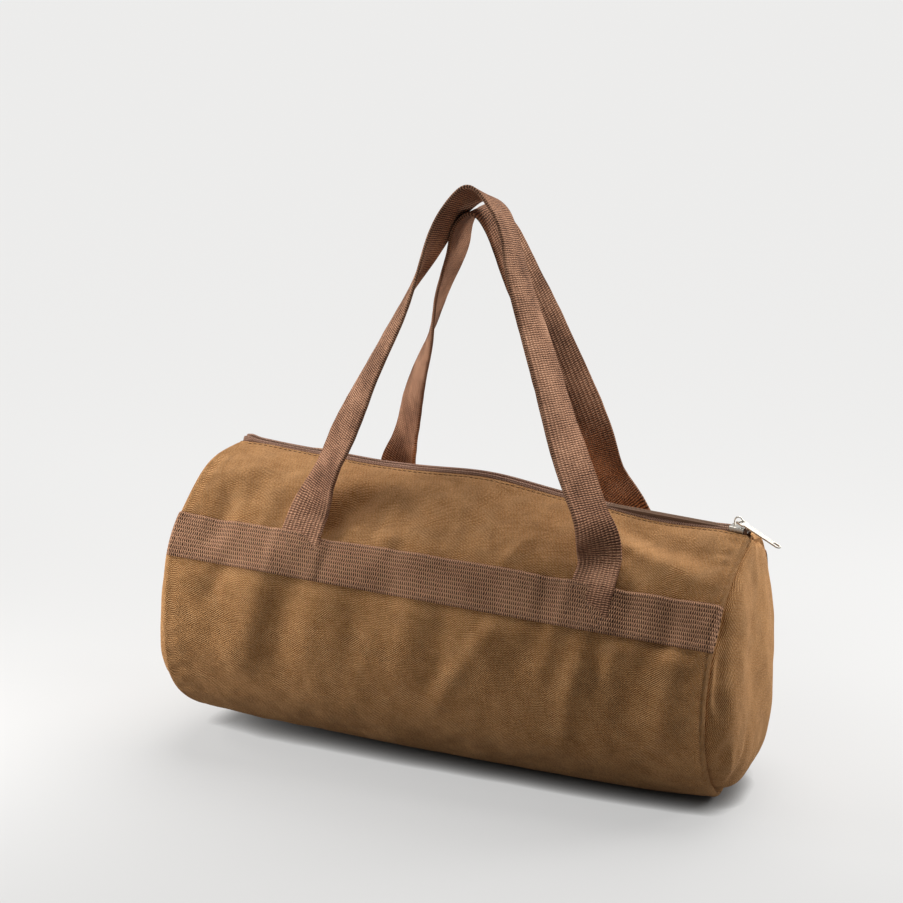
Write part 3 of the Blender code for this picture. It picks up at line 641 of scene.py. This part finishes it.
def end_panel(name, right, node, material):
    """Round panel puffed out from its seam, fuller low down, with soft folds running down it."""
    share = 1.0 if right else 0.0
    angles = np.linspace(-QUARTER, 3 * QUARTER, PANEL_POINTS + 1)[:-1]
    ring = on_shell(angles, np.full_like(angles, share), np.zeros_like(angles))
    middle = (ring.max(axis=0) + ring.min(axis=0)) / 2
    low = 1 - PUFF_SAG * (ring[:, 2] - middle[2]) / middle[2]
    side = 1 if right else -1
    rows = [ring]
    for turn in QUARTER * np.linspace(0, 1, PANEL_ROWS) ** PANEL_CROWDING:
        row = middle + (ring - middle) * GROOVE_SCALE * math.cos(turn)
        row[:, 0] += side * PUFF[int(right)] * math.sin(turn) * mixed((1, low), math.cos(turn))
        row[:, 0] -= side * GROOVE_DEPTH * (1 - smooth_step(turn / GROOVE_TURN))
        y = row[:, 1] / MM
        z = row[:, 2] / MM
        soft = fold_height(y if right else -y, z, END_FOLDS)
        for height, wide, high, shift, seed in PANEL_SLACK:
            soft = soft + height * value_noise(y / wide + shift * right, z / high, seed)
        row[:, 0] += side * soft * MM * smooth_step((turn - PANEL_FOLDS_FROM) * PANEL_FOLDS_RISE)
        row[:, 2] = np.maximum(row[:, 2], 0)
        rows.append(row)
    points = np.array(rows)
    steps = np.linalg.norm(np.diff(points, axis=0), axis=2)
    inward = np.concatenate((np.zeros((1, len(angles))), np.cumsum(steps, axis=0)))
    from_middle = (inward[-1] - inward)[..., None]
    places = from_middle * unit((ring - middle)[:, [2, 1]]) + 0.5
    if not right:
        points, places = points[:, ::-1], places[:, ::-1]
    made = grid_object(name, points, places, material, wrap=True)
    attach(made, "bag")
    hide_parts(node)


BINDING_DEPTH = 9 * MM
BINDING_THICKNESS = 3 * MM
BINDING_BELOW = 3.6 * MM
BINDING_INSIDE = 3.5 * MM


def seam_binding(name, right, node, material):
    """Tape folded over the raw edges, on the inside of an end seam."""
    share = 1.0 if right else 0.0
    side = 1 if right else -1
    angles = np.linspace(-QUARTER, 3 * QUARTER, 241)[:-1]
    line = np.full_like(angles, share)
    rows = []
    for turn in np.linspace(0, 2 * math.pi, 17):
        depth = BINDING_DEPTH * (1 - math.cos(turn)) / 2
        row = on_shell(angles, line, np.full_like(angles, -BINDING_BELOW - depth))
        row[:, 0] -= side * (BINDING_INSIDE - BINDING_THICKNESS / 2 * math.sin(turn))
        rows.append(row)
    points = np.array(rows)
    if not right:
        points = points[:, ::-1]
    made = grid_object(name, points, points[..., 1:], material, wrap=True)
    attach(made, "bag")
    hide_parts(node)


# Webbing pieces

RIBBON_COLUMNS = 22
RIBBON_EDGE = 0.03
EDGE_STRAY = 0.25 * MM
STRAY_LENGTH = 9
RIPPLE = 0.12 * MM
RIPPLE_LENGTH = 6
CURL_BALANCE = 0.4
# How far a strap's underside lies from its top on the cloth map
UNDERSIDE = 0.3
BAND_ROWS = 420
BAND_EDGE = 0.05
BAND_EDGE_DROP = 0.5 * MM
FOOT_EDGE = 7 * MM


def ribbon_section():
    """Places round a strap's section: share across (-1 to 1) and share through (-1 to 1)."""
    flat = np.linspace(-1, 1, RIBBON_COLUMNS)
    bulge = np.sin(np.linspace(0, math.pi, 5)[1:-1])
    ends = np.cos(np.linspace(0, math.pi, 5)[1:-1])
    edge = RIBBON_EDGE
    top = [(value * (1 - edge), 1.0) for value in flat]
    right = [(1 - edge + edge * high, through) for high, through in zip(bulge, ends)]
    bottom = [(value * (1 - edge), -1.0) for value in flat[::-1]]
    left = [(-1 + edge - edge * high, -through) for high, through in zip(bulge, ends)]
    return np.array(top + right + bottom + left)


def ribbon(name, middles, across, normals, material, thickness, wider, curl):
    """Strap along a row of middles, with a rounded section that curls where it twists."""
    section = ribbon_section()
    passed = way_along(middles)
    stray = EDGE_STRAY * value_noise(passed / MM / STRAY_LENGTH, passed * 0, 31)
    half = STRAP_WIDTH / 2 + wider + stray
    points = middles[:, None] + across[:, None] * (section[None, :, :1] * half[:, None, None])
    ripple = value_noise(passed[:, None] / MM / RIPPLE_LENGTH, section[None, :, 0] * 3, 37)
    through = section[None, :, 1:] * thickness[:, None, None] / 2 + RIPPLE * ripple[..., None]
    through = through + curl[:, None, None] * (CURL_BALANCE - section[None, :, :1] ** 2)
    points = points + normals[:, None] * through
    cloth = passed[:, None], section[None, :, 0] * STRAP_WIDTH / 2
    places = np.stack(np.broadcast_arrays(*cloth), axis=-1)
    places = places + np.array((0, UNDERSIDE)) * (section[None, :, 1:] < 0)
    return grid_object(name, points, places, material, wrap=True)


def foot_lift(x, side):
    """How far the feet under a band raise it at this X, from 0 to 1."""
    past = from_foot(x, side) - STRAP_WIDTH / 2
    return (1 + np.cos(math.pi * np.clip(past / FOOT_EDGE, 0, 1))) / 2


def side_band(side, material):
    """Lengthwise band: a strap laid over the soft canvas and the handle's feet."""
    rear = side == "rear"
    section = ribbon_section()
    thick = (section[:, 1] + 1) * STRAP_THICKNESS / 2
    edge = np.exp(-(1 - np.abs(section[:, 0])) / BAND_EDGE) * (section[:, 1] > 0)
    rows = []
    for share in np.linspace(0.0005, 0.9995, BAND_ROWS):
        down = band_top(share) + STRAP_WIDTH * (section[:, 0] + 1) / 2
        angles = angle_at(down, share, rear)
        line = np.full_like(angles, share)
        lifted = foot_lift(shell_point(angles, line)[:, 0], side) * FOOT_UNDER
        rows.append(on_shell(angles, line, BAND_GAP + lifted + thick - BAND_EDGE_DROP * edge))
    points = np.array(rows)
    if rear:
        points = points[:, ::-1]
    across = section[:, 0] * STRAP_WIDTH / 2 + UNDERSIDE * (section[:, 1] < 0)
    if rear:
        across = across[::-1]
    cloth = way_along(points[:, 5])[:, None], across[None]
    places = np.stack(np.broadcast_arrays(*cloth), axis=-1)
    made = grid_object(f"webbing_band_{side}", points[:, ::-1], places[:, ::-1], material, wrap=True)
    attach(made, "bag")
    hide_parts(f"band_{side}")


def natural_curve(keys, values, at):
    """Smooth natural curve through values at keys, read at other places."""
    count = len(keys)
    gaps = np.diff(keys)
    slopes = np.diff(values, axis=0) / gaps[:, None]
    system = np.eye(count)
    known = np.zeros_like(values)
    for row in range(1, count - 1):
        system[row, row - 1:row + 2] = gaps[row - 1], 2 * (gaps[row - 1] + gaps[row]), gaps[row]
        known[row] = 6 * (slopes[row] - slopes[row - 1])
    bends = np.linalg.solve(system, known)
    spans = np.clip(np.searchsorted(keys, at) - 1, 0, count - 2)
    far = (at - keys[spans])[:, None]
    gap = gaps[spans][:, None]
    slope = slopes[spans] - gap * (2 * bends[spans] + bends[spans + 1]) / 6
    bend = bends[spans] / 2 + far * (bends[spans + 1] - bends[spans]) / 6 / gap
    return values[spans] + far * (slope + far * bend)


# Handle keys from the left foot to the right one, close to the solids': the way across from
# the top (0) to the left foot (1) or the right foot (-1), the height between feet (0) and top
# (1), and the turn of the strap's width about the vertical, in degrees
KEYS = {"front": (
    (0.928, 0.121, -33), (0.816, 0.261, -39), (0.663, 0.440, -51), (0.449, 0.656, -64),
    (0.304, 0.803, -86), (0.191, 0.908, -96), (0.078, 0.977, -95), (0.0, 1.0, -96),
    (-0.115, 0.979, -95), (-0.213, 0.918, -86), (-0.298, 0.817, -86), (-0.516, 0.577, -96),
    (-0.697, 0.372, -104), (-0.873, 0.188, -112), (-0.963, 0.100, -122),
), "rear": (
    (0.915, 0.125, -30), (0.812, 0.270, -43), (0.701, 0.405, -52), (0.547, 0.552, -66),
    (0.399, 0.722, -82), (0.229, 0.872, -89), (0.135, 0.965, -88), (0.001, 1.0, -89),
    (-0.110, 0.958, -98), (-0.219, 0.850, -109), (-0.315, 0.737, -116), (-0.522, 0.465, -133),
    (-0.604, 0.355, -141), (-0.684, 0.228, -154), (-0.774, 0.100, -168),
)}
TOP = {"front": (-2.7 * MM, -5.5 * MM, 378.0 * MM), "rear": (-5.7 * MM, 8.8 * MM, 364.0 * MM)}
TOP_TILT = {"front": math.radians(24), "rear": 0.0}
TILT_FROM = 0.75
HANDLE_SPREAD = 55 * MM
STRAP_CURL = 2.2 * MM
HANDLE_ROOT = 5 * MM
HANDLE_ROWS = 440
FOOT_SHOWS = 6 * MM
FOOT_HIDDEN = 26 * MM
FOOT_ROWS = 15
# The strap is a little narrower at its feet and wider and thicker above
WIDER = (-0.9 * MM, 0.9 * MM)
THICKER = 0.5 * MM
CURL_FROM = (0.15, 0.25)
CURL_TO = (0.73, 0.2)


def foot_line(x, rear, distances):
    """Middles of a foot's strap on the shell at distances above the band's top edge."""
    top = band_top(0.5)
    middles = []
    normals = []
    for distance in distances:
        angle = float(angle_at(top - distance, 0.5, rear))
        where = np.array(angle), np.array(float(share_at(x, np.array(angle))))
        lift = np.array(CLEARANCE + STRAP_THICKNESS / 2)
        middles.append(on_shell(*where, lift, soft=False))
        normals.append(shell_normal(*where))
    return np.array(middles), np.array(normals)


def handle(side, material):
    """One strap from its left foot under the band, over the arch, to its right foot."""
    rear = side == "rear"
    top = TOP[side]
    low_part = np.linspace(-FOOT_HIDDEN, FOOT_SHOWS, FOOT_ROWS)
    left, left_normals = foot_line(FOOT_X[side][0], rear, low_part)
    right, right_normals = foot_line(FOOT_X[side][1], rear, low_part)
    crease = unit(right[-1] - left[-1])
    turned = -1 if rear else 1
    left_up = unit(np.cross(left_normals[-1], crease)) * turned
    right_up = unit(np.cross(right_normals[-1], crease)) * turned
    stations = [(*(left[-1] + left_up * step), 0.0) for step in (0, HANDLE_ROOT)]
    for across, height, turn in KEYS[side]:
        x = mixed((top[0], FOOT_X[side][int(across < 0)]), abs(across))
        y = mixed((-turned * HANDLE_SPREAD, top[1]), height)
        stations.append((x, y, mixed((left[-1, 2], top[2]), height), math.radians(turn)))
    stations += [(*(right[-1] + right_up * step), -math.pi) for step in (HANDLE_ROOT, 0)]
    stations = np.array(stations)
    passed = way_along(stations[:, :3])
    line = natural_curve(passed, stations, np.linspace(0, passed[-1], HANDLE_ROWS))
    middles = np.concatenate((left[:-1], line[:, :3], right[:-1][::-1]))
    feet = np.zeros(FOOT_ROWS - 1)
    turns = np.concatenate((feet, line[:, 3], feet - math.pi))
    high = (middles[:, 2] - left[-1, 2]) / (top[2] - left[-1, 2])
    lean = TOP_TILT[side] * (np.maximum(high - TILT_FROM, 0) / (1 - TILT_FROM)) ** 2
    ways = unit(np.gradient(middles, axis=0))
    across = crease * (np.cos(turns) * np.cos(lean))[:, None]
    across = across + np.stack((turns * 0, np.sin(turns) * np.cos(lean), np.sin(lean)), axis=1)
    across = unit(across - ways * np.sum(across * ways, axis=1, keepdims=True))
    thickness = STRAP_THICKNESS + THICKER * smooth_step(high * 8)
    wider = mixed(WIDER, smooth_step(high * 4))
    curl = STRAP_CURL * rising(high, *CURL_FROM) * (1 - rising(high, *CURL_TO))
    normals = np.cross(across, ways)
    sizes = thickness, wider, curl
    made = ribbon(f"webbing_handle_{side}", middles, across, normals, material, *sizes)
    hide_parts(f"handle_{side}", f"handle_{side}_foot_left", f"handle_{side}_foot_right")
    up = unit(left_up + right_up)
    up = unit(up - crease * (up @ crease))
    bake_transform(made)


# Stitches

STITCH_LENGTH = 2.6 * MM
STITCH_GAP = 1.1 * MM
STITCH_RADIUS = 0.33 * MM
STITCH_SIDES = 6
# A stitch's rings: share of its length, and share of its radius
STITCH_STEPS = np.array((0.0, 0.12, 0.5, 0.88, 1.0))
STITCH_SIZES = np.array((0.15, 0.8, 1.0, 0.8, 0.15))
EDGE_TO_STITCHES = 2.2 * MM
# A crossed box over a foot: X and distance below the band's top edge, in millimetres
FOOT_BOX = ((-12, 3), (12, 3), (12, 26), (-12, 26), (-12, 3), (12, 26), (12, 3), (-12, 26))


def stitches(name, points, normals, material):
    """Rounded stitches laid end to end along a line of points on a surface."""
    passed = way_along(points)
    pitch = STITCH_LENGTH + STITCH_GAP
    starts = np.arange(0.5 * STITCH_GAP, passed[-1] - STITCH_LENGTH, pitch)
    turns = np.linspace(0, 2 * math.pi, STITCH_SIDES + 1)[:-1]
    vertices = []
    faces = []
    for start in starts:
        base = len(vertices)
        places = start + STITCH_LENGTH * STITCH_STEPS
        middles, ups = (np.stack([np.interp(places, passed, row) for row in values.T], axis=1)
                        for values in (points, normals))
        ups = unit(ups)
        way = unit(middles[-1] - middles[0])
        for middle, up, size in zip(middles, ups, STITCH_SIZES):
            across = unit(np.cross(way, up))
            for turn in turns:
                arm = across * math.cos(turn) + up * math.sin(turn)
                vertices.append(middle + arm * STITCH_RADIUS * size)
        for low in range(base, len(vertices) - STITCH_SIDES, STITCH_SIDES):
            for index in range(STITCH_SIDES):
                near, far = low + index, low + (index + 1) % STITCH_SIDES
                faces.append((near, far, far + STITCH_SIDES, near + STITCH_SIDES))
        faces.append(tuple(reversed(range(base, base + STITCH_SIDES))))
        faces.append(tuple(range(len(vertices) - STITCH_SIDES, len(vertices))))
    mesh = bpy.data.meshes.new(name)
    mesh.from_pydata([tuple(vertex) for vertex in vertices], [], faces)
    mesh.shade_smooth()
    mesh.materials.append(material)
    made = bpy.data.objects.new(name, mesh)
    bpy.context.scene.collection.objects.link(made)
    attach(made, "bag")
    return made


def angles_at(distances, shares, rear):
    return np.array([float(angle_at(*place, rear)) for place in zip(distances, shares)])


def shell_line(distances, shares, lift, rear):
    """Points and normals over the soft canvas along matching distances and shares."""
    angles = angles_at(distances, shares, rear)
    lift = np.broadcast_to(lift, angles.shape)
    return on_shell(angles, shares, lift), shell_normal(angles, shares)


def canvas_stitches(material):
    shares = np.linspace(0.02, 0.98, 120)
    for side in ("front", "rear"):
        line = shell_line(opening(shares) + HEM_LINE, shares, -0.35 * MM, side == "rear")
        stitches(f"hem_stitches_{side}", *line, material)


def band_stitches(material):
    """Rows along both edges of a band and a crossed box over each foot."""
    for side in ("front", "rear"):
        rear = side == "rear"
        shares = np.linspace(0.012, 0.988, 160)
        top = np.array([band_top(share) for share in shares])
        for row, down in (("top", EDGE_TO_STITCHES), ("low", STRAP_WIDTH - EDGE_TO_STITCHES)):
            angles = angles_at(top + down, shares, rear)
            lifted = foot_lift(shell_point(angles, shares)[:, 0], side) * FOOT_UNDER
            lift = BAND_GAP + lifted + STRAP_THICKNESS - 0.12 * MM
            line = on_shell(angles, shares, lift), shell_normal(angles, shares)
            stitches(f"band_stitches_{side}_{row}", *line, material)
        corners = np.array(FOOT_BOX)
        parts = np.linspace(0, 1, 12)[:-1, None]
        legs = [start + (end - start) * parts for start, end in zip(corners[:-1], corners[1:])]
        legs = np.concatenate(legs) * MM
        angle = np.array(2 * QUARTER - BAND_TOP if rear else BAND_TOP)
        for number, x in enumerate(FOOT_X[side]):
            shares = share_at(x + legs[:, 0], angle)
            lift = BAND_GAP + FOOT_UNDER + STRAP_THICKNESS - 0.1 * MM
            line = shell_line(band_top(shares.mean()) + legs[:, 1], shares, lift, rear)
            stitches(f"foot_stitches_{side}_{number}", *line, material)


# Zip

# The tape's section: distance from the zip's middle and height, in millimetres
TAPE_PROFILE = np.array((
    (12.5, -3.0), (9.5, -3.0), (7.2, -2.9), (5.2, -2.6), (4.3, -2.0), (3.7, -1.0), (3.1, -0.1),
    (2.5, 0.45), (1.8, 0.5), (1.1, 0.1), (0.6, -0.7), (0.3, -1.6), (0.12, -2.4),
))
TAPE_COLUMNS = 40
TAPE_ROWS = 300
# The rear tape stands a little higher, and both rise at the bottom stop
REAR_TAPE_LIFT = 0.4 * MM
TAPE_END_LIFT = 1.2 * MM
TAPE_END = 0.012
# Where the tape leaves the teeth for the canvas
TAPE_LEAVES = (3.6 * MM, 2.4 * MM)


def zip_tape(side, material):
    """Tape from under the canvas lip, rolled over the teeth to the middle of the zip."""
    rear = side == "rear"
    corners = len(TAPE_PROFILE)
    fine = np.linspace(0, corners - 1, TAPE_COLUMNS)
    away, height = (np.interp(fine, range(corners), values) * MM for values in TAPE_PROFILE.T)
    blend = rising(away, *TAPE_LEAVES)[:, None]
    sign = 1 if rear else -1
    rows = []
    for share in np.linspace(0.002, 0.994, TAPE_ROWS):
        top = shell_point(np.array(QUARTER), np.array(share))
        angles = angle_at(np.maximum(away, 0.05 * MM), share, rear)
        surface = on_shell(angles, np.full_like(angles, share), height)
        high = float(zip_wave(np.array(share))) + REAR_TAPE_LIFT * rear
        high = high + TAPE_END_LIFT * bell(share, TAPE_END, TAPE_END)
        raised = top + np.stack((away * 0, sign * away, height + high), axis=1)
        rows.append(raised * (1 - blend) + surface * blend)
    points = np.array(rows)
    around = way_along(points[TAPE_ROWS // 2])
    places = np.stack(np.broadcast_arrays(points[:, :1, 0], around[None]), axis=-1)
    if rear:
        points, places = points[:, ::-1], places[:, ::-1]
    made = grid_object(f"zip_cloth_{side}", points, places, material)
    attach(made, "bag")
    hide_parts(f"zip_tape_{side}")


# Stage

FLOOR_COLOUR = (0.23, 0.23, 0.23)
FLOOR_BOUNCE = (0.28, 0.272, 0.265)
# The floor's glow is painted light, weaker near the front than far back
FLOOR_GLOW_NEAR = 0.43
FLOOR_GLOW_FAR = 0.60
FLOOR_GLOW_REACH = (-0.45, 0.55)
# Reach of the painted contact shadow: the floor's glow is darkened close to the bag
FLOOR_CONTACT_SHADOW_REACH = 14 * MM
FLOOR_SIZE = 60
FLOOR_BELOW = 0.2 * MM
SKY_LIGHT = 0.12
SKY_SEEN = 0.85
KEY_WIDTH = math.radians(60)
# Name, kind, energy, colour, place, target, size
LAMPS = (
    ("key", "SUN", 3.3, (1.0, 0.985, 0.965), (0.05, 0.62, 1.2), (0, 0, 0), KEY_WIDTH),
    ("left", "AREA", 1.75, (1.0, 0.99, 0.97), (-0.52, -0.27, 0.20), (-0.13, -0.07, 0.10), 0.16),
    ("high", "AREA", 1.2, (1.0, 0.985, 0.96), (-0.62, -0.22, 0.52), (-0.05, -0.01, 0.27), 0.2),
    ("right", "AREA", 2.15, (1.0, 0.99, 0.97), (0.62, 0.33, 0.34), (0.19, 0.0, 0.10), 0.25),
)
# The camera fitted to the photograph, its focal length in the picture's pixels
PICTURE_SIZE = 903
FOCAL_LENGTH = 3000
SENSOR = 36
CAMERA_AZIMUTH = math.radians(25)
CAMERA_ELEVATION = math.radians(16)
CAMERA_TARGET = (-0.0224, 0, 0.2036)
CAMERA_DISTANCE = 1.9613


def seen_directly(tree):
    """1 for what the camera, a reflection or glass shows, 0 for light on its way."""
    path = tree.nodes.new("ShaderNodeLightPath")
    total = path.outputs["Is Camera Ray"]
    for name in ("Is Glossy Ray", "Is Transmission Ray"):
        total = math_node(tree, "MAXIMUM", total, path.outputs[name])
    return total


def floor():
    """Pale floor that keeps the shadow and sends little light back up; its glow is painted light,
    weaker near the front, with a painted contact shadow by the bag.
    """
    material = bpy.data.materials.new("floor")
    material.use_nodes = True
    tree = material.node_tree
    surface = tree.nodes["Principled BSDF"]
    surface.inputs["Roughness"].default_value = 1.0
    surface.inputs["Specular IOR Level"].default_value = 0.0
    seen = seen_directly(tree)
    tree.links.new(mix_node(tree, seen, FLOOR_BOUNCE, FLOOR_COLOUR), surface.inputs["Base Color"])
    surface.inputs["Emission Color"].default_value = (1, 1, 0.995, 1)
    place = tree.nodes.new("ShaderNodeTexCoord")
    split = tree.nodes.new("ShaderNodeSeparateXYZ")
    tree.links.new(place.outputs["Object"], split.inputs[0])
    # Painted floor light: the glow rises from the front to the back
    level = tree.nodes.new("ShaderNodeMapRange")
    level.interpolation_type = "SMOOTHSTEP"
    values = (*FLOOR_GLOW_REACH, FLOOR_GLOW_NEAR, FLOOR_GLOW_FAR)
    for name, value in zip(("From Min", "From Max", "To Min", "To Max"), values):
        level.inputs[name].default_value = value
    tree.links.new(split.outputs["Y"], level.inputs["Value"])
    # Painted contact shadow: ambient occlusion darkens the floor's glow next to the bag
    contact_shadow = tree.nodes.new("ShaderNodeAmbientOcclusion")
    contact_shadow.inputs["Distance"].default_value = FLOOR_CONTACT_SHADOW_REACH
    shade = math_node(tree, "POWER", contact_shadow.outputs["AO"], 2.0)
    glow = math_node(tree, "MULTIPLY", level.outputs["Result"], shade)
    glow = math_node(tree, "MULTIPLY", seen, glow)
    tree.links.new(glow, surface.inputs["Emission Strength"])
    bpy.ops.mesh.primitive_plane_add(size=FLOOR_SIZE, location=(0, 0, -FLOOR_BELOW))
    made = bpy.context.object
    made.name = "floor"
    made.data.materials.append(material)


def lamp(name, kind, energy, colour, place, target, size):
    data = bpy.data.lights.new(name, kind)
    data.energy = energy
    data.color = colour
    if kind == "SUN":
        data.angle = size
    else:
        data.shape = "DISK"
        data.size = size
    made = bpy.data.objects.new(name, data)
    made.location = place
    made.rotation_euler = (Vector(target) - Vector(place)).to_track_quat("-Z", "Y").to_euler()
    bpy.context.scene.collection.objects.link(made)


def lights():
    world = bpy.data.worlds.new("studio")
    bpy.context.scene.world = world
    world.use_nodes = True
    tree = world.node_tree
    background = tree.nodes["Background"]
    background.inputs["Color"].default_value = (1.0, 1.0, 0.995, 1)
    strength = tree.nodes.new("ShaderNodeMix")
    strength.inputs[2].default_value = SKY_LIGHT
    strength.inputs[3].default_value = SKY_SEEN
    tree.links.new(seen_directly(tree), strength.inputs[0])
    tree.links.new(strength.outputs[0], background.inputs["Strength"])
    for values in LAMPS:
        lamp(*values)


def camera():
    data = bpy.data.cameras.new("camera")
    data.sensor_width = SENSOR
    data.lens = SENSOR * FOCAL_LENGTH / PICTURE_SIZE
    made = bpy.data.objects.new("camera", data)
    level = math.cos(CAMERA_ELEVATION)
    back = Vector((math.sin(CAMERA_AZIMUTH) * level, -math.cos(CAMERA_AZIMUTH) * level,
                   math.sin(CAMERA_ELEVATION)))
    made.location = Vector(CAMERA_TARGET) + back * CAMERA_DISTANCE
    made.rotation_euler = (QUARTER - CAMERA_ELEVATION, 0, CAMERA_AZIMUTH)
    bpy.context.scene.collection.objects.link(made)
    bpy.context.scene.camera = made


def dress_nodes(metal, teeth):
    for node, material in (("slider_body", metal), ("slider_bail", metal), ("pull_tab", metal),
                           ("zip_top_stop", metal), ("zip_bottom_stop", metal),
                           ("zip_teeth_front", teeth), ("zip_teeth_rear", teeth)):
        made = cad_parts[node]
        for index in range(len(made.data.materials)):
            made.data.materials[index] = material


def main():
    bpy.context.scene.view_settings.view_transform = "Standard"
    camera()
    lights()
    floor()
    canvas = canvas_material("canvas_look")
    webbing = webbing_material("webbing_look")
    strap = webbing_material("strap_look", STRAP_TONES, stagger=0.0, furrow=0.40, sharp=0.20)
    tape = webbing_material("tape_look", TAPE_TONES, 1.3 * MM, 1.1 * MM)
    thread = thread_material("webbing_thread", (0.30, 0.165, 0.105))
    hem_thread = thread_material("hem_thread", (0.20, 0.10, 0.045))
    metal = metal_material("nickel_look")
    binding = plain_cloth_material("binding_look", (0.10, 0.055, 0.03), (0.2, 0.11, 0.06))
    dress_nodes(metal, plain_cloth_material("teeth_look", (0.10, 0.06, 0.04), (0.2, 0.12, 0.08)))
    seam_binding("edge_binding_left", False, "seam_binding_left", binding)
    seam_binding("edge_binding_right", True, "seam_binding_right", binding)
    canvas_body(canvas)
    end_panel("canvas_end_left", False, "end_panel_left", canvas)
    end_panel("canvas_end_right", True, "end_panel_right", canvas)
    for side in ("front", "rear"):
        side_band(side, webbing)
        handle(side, strap)
        zip_tape(side, tape)
    canvas_stitches(hem_thread)
    band_stitches(thread)


main()
